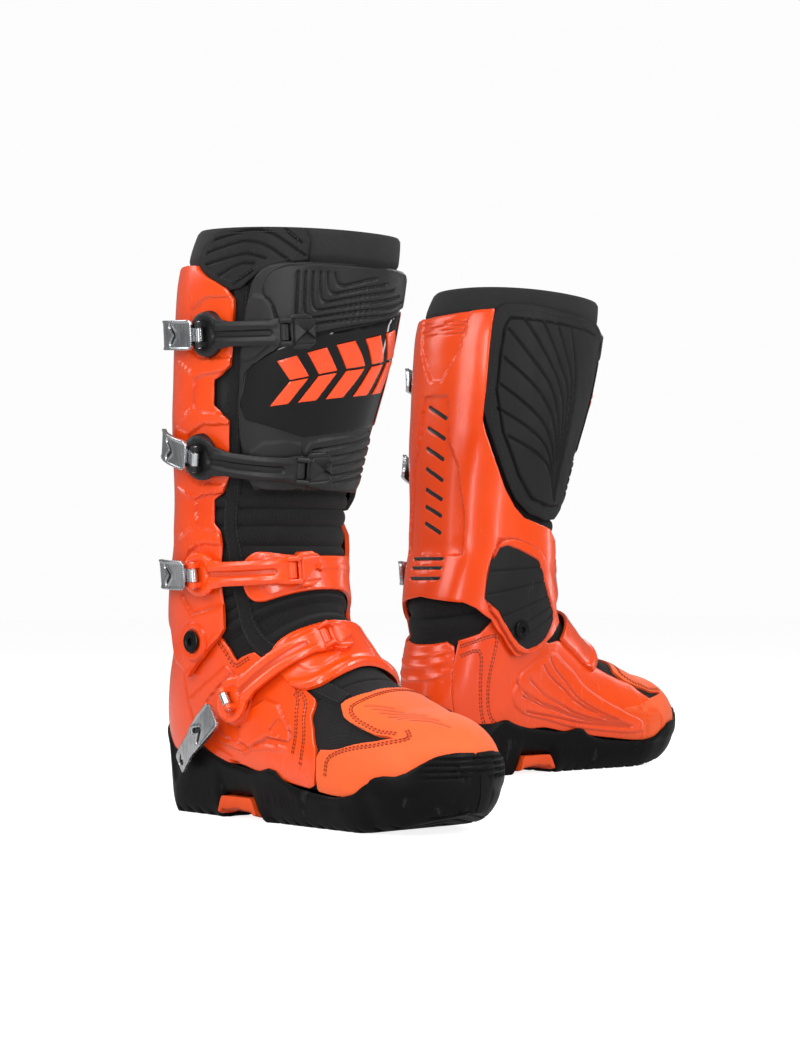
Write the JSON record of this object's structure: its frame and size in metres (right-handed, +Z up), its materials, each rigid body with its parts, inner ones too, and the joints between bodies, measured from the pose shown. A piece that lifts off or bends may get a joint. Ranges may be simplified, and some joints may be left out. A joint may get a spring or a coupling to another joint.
{
  "type": "motocross riding boots",
  "caption": "A pair of tall off-road riding boots with hinged ankles, hard shells, and strap-and-lever buckles on the outer sides.",
  "frame": {"origin": "on the floor, under the middle of the pair's box", "axes": "+Z up, the right boot's toe points along +X and the left boot's toe along +Y, as the pair stands"},
  "size_m": [0.452, 0.678, 0.4201],
  "materials": {
    "orange_shell": "satin",
    "orange_rubber": "satin",
    "orange_microfibre": "fine matt grain",
    "sole_rubber": "satin",
    "black_rubber": "matt with fine grain",
    "black_plastic": "matt",
    "gloss_black": "gloss",
    "black_fabric": "woven",
    "black_metal": "satin",
    "aluminium": "satin"
  },
  "bodies": {
    "right_foot": {"right_outsole": "sole_rubber", "right_sole_insert": "orange_rubber", "right_insole": "black_fabric", "right_toe_cap": "orange_microfibre", "right_foot_shell": "orange_shell", "right_heel_cup": "orange_shell", "right_vamp": "black_fabric", "right_liner_foot": "black_fabric", "right_instep_band": "orange_shell", "right_instep_fittings": "orange_shell", "right_pivot_bolts": "black_metal"},
    "right_cuff": {"right_calf_shell": "orange_shell", "right_liner_leg": "black_fabric", "right_shin_plate": "black_plastic", "right_shin_panel": "gloss_black", "right_cuff_anchors": "black_plastic", "right_cuff_catches": "orange_shell", "right_medial_pad": "black_rubber", "right_ankle_pad": "black_rubber", "right_gaiter_pad": "black_rubber", "right_ankle_band": "orange_shell", "right_ankle_bellows": "black_fabric"},
    "right_strap_1": {"right_strap_1": "black_plastic"},
    "right_lever_1": {"right_lever_1": "aluminium"},
    "right_strap_2": {"right_strap_2": "black_plastic"},
    "right_lever_2": {"right_lever_2": "aluminium"},
    "right_strap_3": {"right_strap_3": "orange_shell"},
    "right_lever_3": {"right_lever_3": "aluminium"},
    "right_strap_4": {"right_strap_4": "orange_shell"},
    "right_lever_4": {"right_lever_4": "aluminium"},
    "left_foot": {"left_outsole": "sole_rubber", "left_sole_insert": "orange_rubber", "left_insole": "black_fabric", "left_toe_cap": "orange_microfibre", "left_foot_shell": "orange_shell", "left_heel_cup": "orange_shell", "left_vamp": "black_fabric", "left_liner_foot": "black_fabric", "left_instep_band": "orange_shell", "left_instep_fittings": "orange_shell", "left_pivot_bolts": "black_metal"},
    "left_cuff": {"left_calf_shell": "orange_shell", "left_liner_leg": "black_fabric", "left_shin_plate": "black_plastic", "left_shin_panel": "gloss_black", "left_cuff_anchors": "black_plastic", "left_cuff_catches": "orange_shell", "left_medial_pad": "black_rubber", "left_ankle_pad": "black_rubber", "left_gaiter_pad": "black_rubber", "left_ankle_band": "orange_shell", "left_ankle_bellows": "black_fabric"},
    "left_strap_1": {"left_strap_1": "black_plastic"},
    "left_lever_1": {"left_lever_1": "aluminium"},
    "left_strap_2": {"left_strap_2": "black_plastic"},
    "left_lever_2": {"left_lever_2": "aluminium"},
    "left_strap_3": {"left_strap_3": "orange_shell"},
    "left_lever_3": {"left_lever_3": "aluminium"},
    "left_strap_4": {"left_strap_4": "orange_shell"},
    "left_lever_4": {"left_lever_4": "aluminium"}
  },
  "joints": [
    {"name": "right_ankle", "type": "hinge", "parent": "right_foot", "child": "right_cuff", "pos_m": [-0.00086, -0.25286, 0.126], "axis": [0, 1, 0], "range_deg": [-12, 12], "deforming": ["right_ankle_bellows"]},
    {"name": "right_strap_1_swing", "type": "hinge", "parent": "right_cuff", "child": "right_strap_1", "pos_m": [0.09798, -0.30682, 0.33994], "axis": [0.054, -0.0968, 0.9938], "range_deg": [0, 60]},
    {"name": "right_lever_1_flip", "type": "hinge", "parent": "right_strap_1", "child": "right_lever_1", "pos_m": [0.03962, -0.33514, 0.34035], "axis": [0.054, -0.0968, 0.9938], "range_deg": [0, 100]},
    {"name": "right_strap_2_swing", "type": "hinge", "parent": "right_cuff", "child": "right_strap_2", "pos_m": [0.08331, -0.28015, 0.24666], "axis": [0.2218, -0.118, 0.9679], "range_deg": [0, 60]},
    {"name": "right_lever_2_flip", "type": "hinge", "parent": "right_strap_2", "child": "right_lever_2", "pos_m": [0.02382, -0.3263, 0.25467], "axis": [0.2218, -0.118, 0.9679], "range_deg": [0, 100]},
    {"name": "right_strap_3_swing", "type": "hinge", "parent": "right_cuff", "child": "right_strap_3", "pos_m": [0.07674, -0.28187, 0.17697], "axis": [0.0002, -0.0997, 0.995], "range_deg": [0, 60]},
    {"name": "right_lever_3_flip", "type": "hinge", "parent": "right_strap_3", "child": "right_lever_3", "pos_m": [0.01457, -0.32072, 0.17309], "axis": [0.0002, -0.0997, 0.995], "range_deg": [0, 100]},
    {"name": "right_strap_4_swing", "type": "hinge", "parent": "right_foot", "child": "right_strap_4", "pos_m": [0.10422, -0.27509, 0.13054], "axis": [-0.6045, 0.0699, 0.7935], "range_deg": [0, 40]},
    {"name": "right_lever_4_flip", "type": "hinge", "parent": "right_strap_4", "child": "right_lever_4", "pos_m": [0.04179, -0.31361, 0.08637], "axis": [-0.6045, 0.0699, 0.7935], "range_deg": [0, 100]},
    {"name": "left_ankle", "type": "hinge", "parent": "left_foot", "child": "left_cuff", "pos_m": [-0.13986, 0.11214, 0.126], "axis": [-1, 0, 0], "range_deg": [-12, 12], "deforming": ["left_ankle_bellows"]},
    {"name": "left_strap_1_swing", "type": "hinge", "parent": "left_cuff", "child": "left_strap_1", "pos_m": [-0.19382, 0.21098, 0.33994], "axis": [0.0968, -0.054, -0.9938], "range_deg": [0, 60]},
    {"name": "left_lever_1_flip", "type": "hinge", "parent": "left_strap_1", "child": "left_lever_1", "pos_m": [-0.22214, 0.15262, 0.34035], "axis": [0.0968, -0.054, -0.9938], "range_deg": [0, 100]},
    {"name": "left_strap_2_swing", "type": "hinge", "parent": "left_cuff", "child": "left_strap_2", "pos_m": [-0.16715, 0.19631, 0.24666], "axis": [0.118, -0.2218, -0.9679], "range_deg": [0, 60]},
    {"name": "left_lever_2_flip", "type": "hinge", "parent": "left_strap_2", "child": "left_lever_2", "pos_m": [-0.2133, 0.13682, 0.25467], "axis": [0.118, -0.2218, -0.9679], "range_deg": [0, 100]},
    {"name": "left_strap_3_swing", "type": "hinge", "parent": "left_cuff", "child": "left_strap_3", "pos_m": [-0.16887, 0.18974, 0.17697], "axis": [0.0997, -0.0002, -0.995], "range_deg": [0, 60]},
    {"name": "left_lever_3_flip", "type": "hinge", "parent": "left_strap_3", "child": "left_lever_3", "pos_m": [-0.20772, 0.12757, 0.17309], "axis": [0.0997, -0.0002, -0.995], "range_deg": [0, 100]},
    {"name": "left_strap_4_swing", "type": "hinge", "parent": "left_foot", "child": "left_strap_4", "pos_m": [-0.16209, 0.21721, 0.13054], "axis": [-0.0699, 0.6045, -0.7935], "range_deg": [0, 40]},
    {"name": "left_lever_4_flip", "type": "hinge", "parent": "left_strap_4", "child": "left_lever_4", "pos_m": [-0.20061, 0.15479, 0.08637], "axis": [-0.0699, 0.6045, -0.7935], "range_deg": [0, 100]},
    {"name": "left_boot_apart", "type": "slide", "parent": "right_foot", "child": "left_foot", "axis": [0, 1, 0], "range_m": [0, 0.3]}
  ]
}
